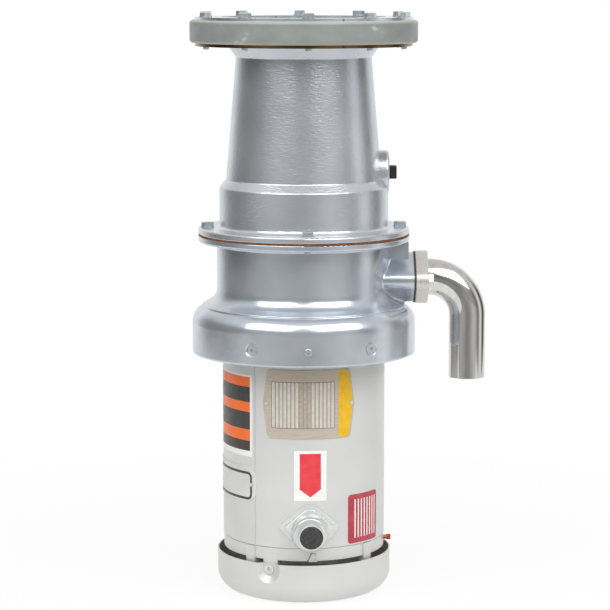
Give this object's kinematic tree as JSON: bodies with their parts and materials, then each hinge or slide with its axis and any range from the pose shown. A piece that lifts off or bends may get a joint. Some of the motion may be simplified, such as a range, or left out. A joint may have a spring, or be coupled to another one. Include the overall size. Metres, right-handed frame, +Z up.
{
  "type": "food waste disposer",
  "caption": "Upright food waste disposer: clamped sink collar and cast grinding body over an electric motor, with a side drain elbow.",
  "frame": {"origin": "centre of the flat base of the bottom cover, on the motor's axis", "axes": "+Z up along the motor's axis to the feed throat, +X along the drain, -Y the front with the reset button"},
  "size_m": [0.3085, 0.2363, 0.6068],
  "materials": {
    "zinc_plated_steel": "clear zinc plate",
    "yellow_zinc_steel": "yellow chromate zinc plate",
    "grey_rubber": "moulded, grey-green",
    "black_rubber": "moulded",
    "cast_aluminium": "sand cast, silver enamel",
    "fibre_gasket": "compressed brown fibre sheet",
    "stainless_steel": "brushed",
    "chromed_brass": "polished chrome plate",
    "black_plastic": "moulded",
    "painted_steel": "light grey enamel",
    "painted_iron": "light grey enamel on a casting",
    "plate_aluminium": "brushed, bare",
    "red_plastic": "moulded",
    "brass": "machined",
    "shaft_steel": "ground",
    "bearing_steel": "polished",
    "lamination_steel": "stacked sheets",
    "copper_winding": null,
    "chilled_iron": "hard cast",
    "seal_ceramic": null,
    "seal_carbon": null
  },
  "bodies": {
    "housing": {"badge_plate": "plate_aluminium", "bottom_cover": "painted_steel", "clamp_bolts": "zinc_plated_steel", "cover_screws": "painted_steel", "drain_bolts": "zinc_plated_steel", "drain_elbow": "chromed_brass", "drain_flange": "stainless_steel", "drain_gasket": "black_rubber", "grease_cap": "red_plastic", "grease_fitting": "brass", "housing_bolts": "zinc_plated_steel", "housing_gasket": "fibre_gasket", "inlet_plug": "black_plastic", "isolation_ring": "grey_rubber", "lower_bearing_outer_race": "bearing_steel", "lower_bracket": "painted_iron", "lower_clamp_ring": "yellow_zinc_steel", "lower_housing": "cast_aluminium", "motor_mount_screws": "zinc_plated_steel", "motor_shell": "painted_steel", "motor_upper_bracket": "cast_aluminium", "nameplate": "plate_aluminium", "overload_protector": "black_plastic", "plate_pins": "plate_aluminium", "preload_washer": "shaft_steel", "reset_cover": "painted_steel", "reset_rivets": "painted_steel", "seal_seat": "seal_ceramic", "shredder_ring": "chilled_iron", "skirt_plugs": "zinc_plated_steel", "skirt_screw": "zinc_plated_steel", "stator_core": "lamination_steel", "stator_winding": "copper_winding", "terminal_board": "black_plastic", "terminal_screws": "brass", "through_bolts": "zinc_plated_steel", "upper_bearing_outer_race": "bearing_steel", "upper_clamp_ring": "zinc_plated_steel", "upper_housing": "cast_aluminium"},
    "rotor": {"motor_shaft": "shaft_steel", "rotor_core": "lamination_steel", "rotor_end_rings": "cast_aluminium", "upper_bearing_inner_race": "bearing_steel", "lower_bearing_inner_race": "bearing_steel", "turntable": "chilled_iron", "turntable_key": "shaft_steel", "cutter_lugs": "chilled_iron", "lug_screws": "stainless_steel", "turntable_washer": "stainless_steel", "turntable_nut": "stainless_steel", "seal_face": "seal_carbon", "seal_bellows": "black_rubber", "seal_spring": "stainless_steel", "slinger": "black_plastic"},
    "upper_cage": {"upper_bearing_balls": "bearing_steel", "upper_bearing_cage": "brass"},
    "lower_cage": {"lower_bearing_balls": "bearing_steel", "lower_bearing_cage": "brass"},
    "reset_button": {"reset_button": "black_plastic"}
  },
  "joints": [
    {"name": "rotor_spin", "type": "hinge", "parent": "housing", "child": "rotor", "pos_m": [0, 0, 0], "axis": [0, 0, 1], "continuous": true},
    {"name": "upper_cage_spin", "type": "hinge", "parent": "housing", "child": "upper_cage", "pos_m": [0, 0, 0], "axis": [0, 0, 1], "continuous": true},
    {"name": "lower_cage_spin", "type": "hinge", "parent": "housing", "child": "lower_cage", "pos_m": [0, 0, 0], "axis": [0, 0, 1], "continuous": true},
    {"name": "reset_press", "type": "slide", "parent": "housing", "child": "reset_button", "axis": [-0.0698, 0.9976, 0], "range_m": [0, 0.003], "stiffness_N_per_m": 800}
  ],
  "couplings": [
    {"joint": "upper_cage_spin", "follows": "rotor_spin", "ratio": 0.39688},
    {"joint": "lower_cage_spin", "follows": "rotor_spin", "ratio": 0.38175}
  ]
}
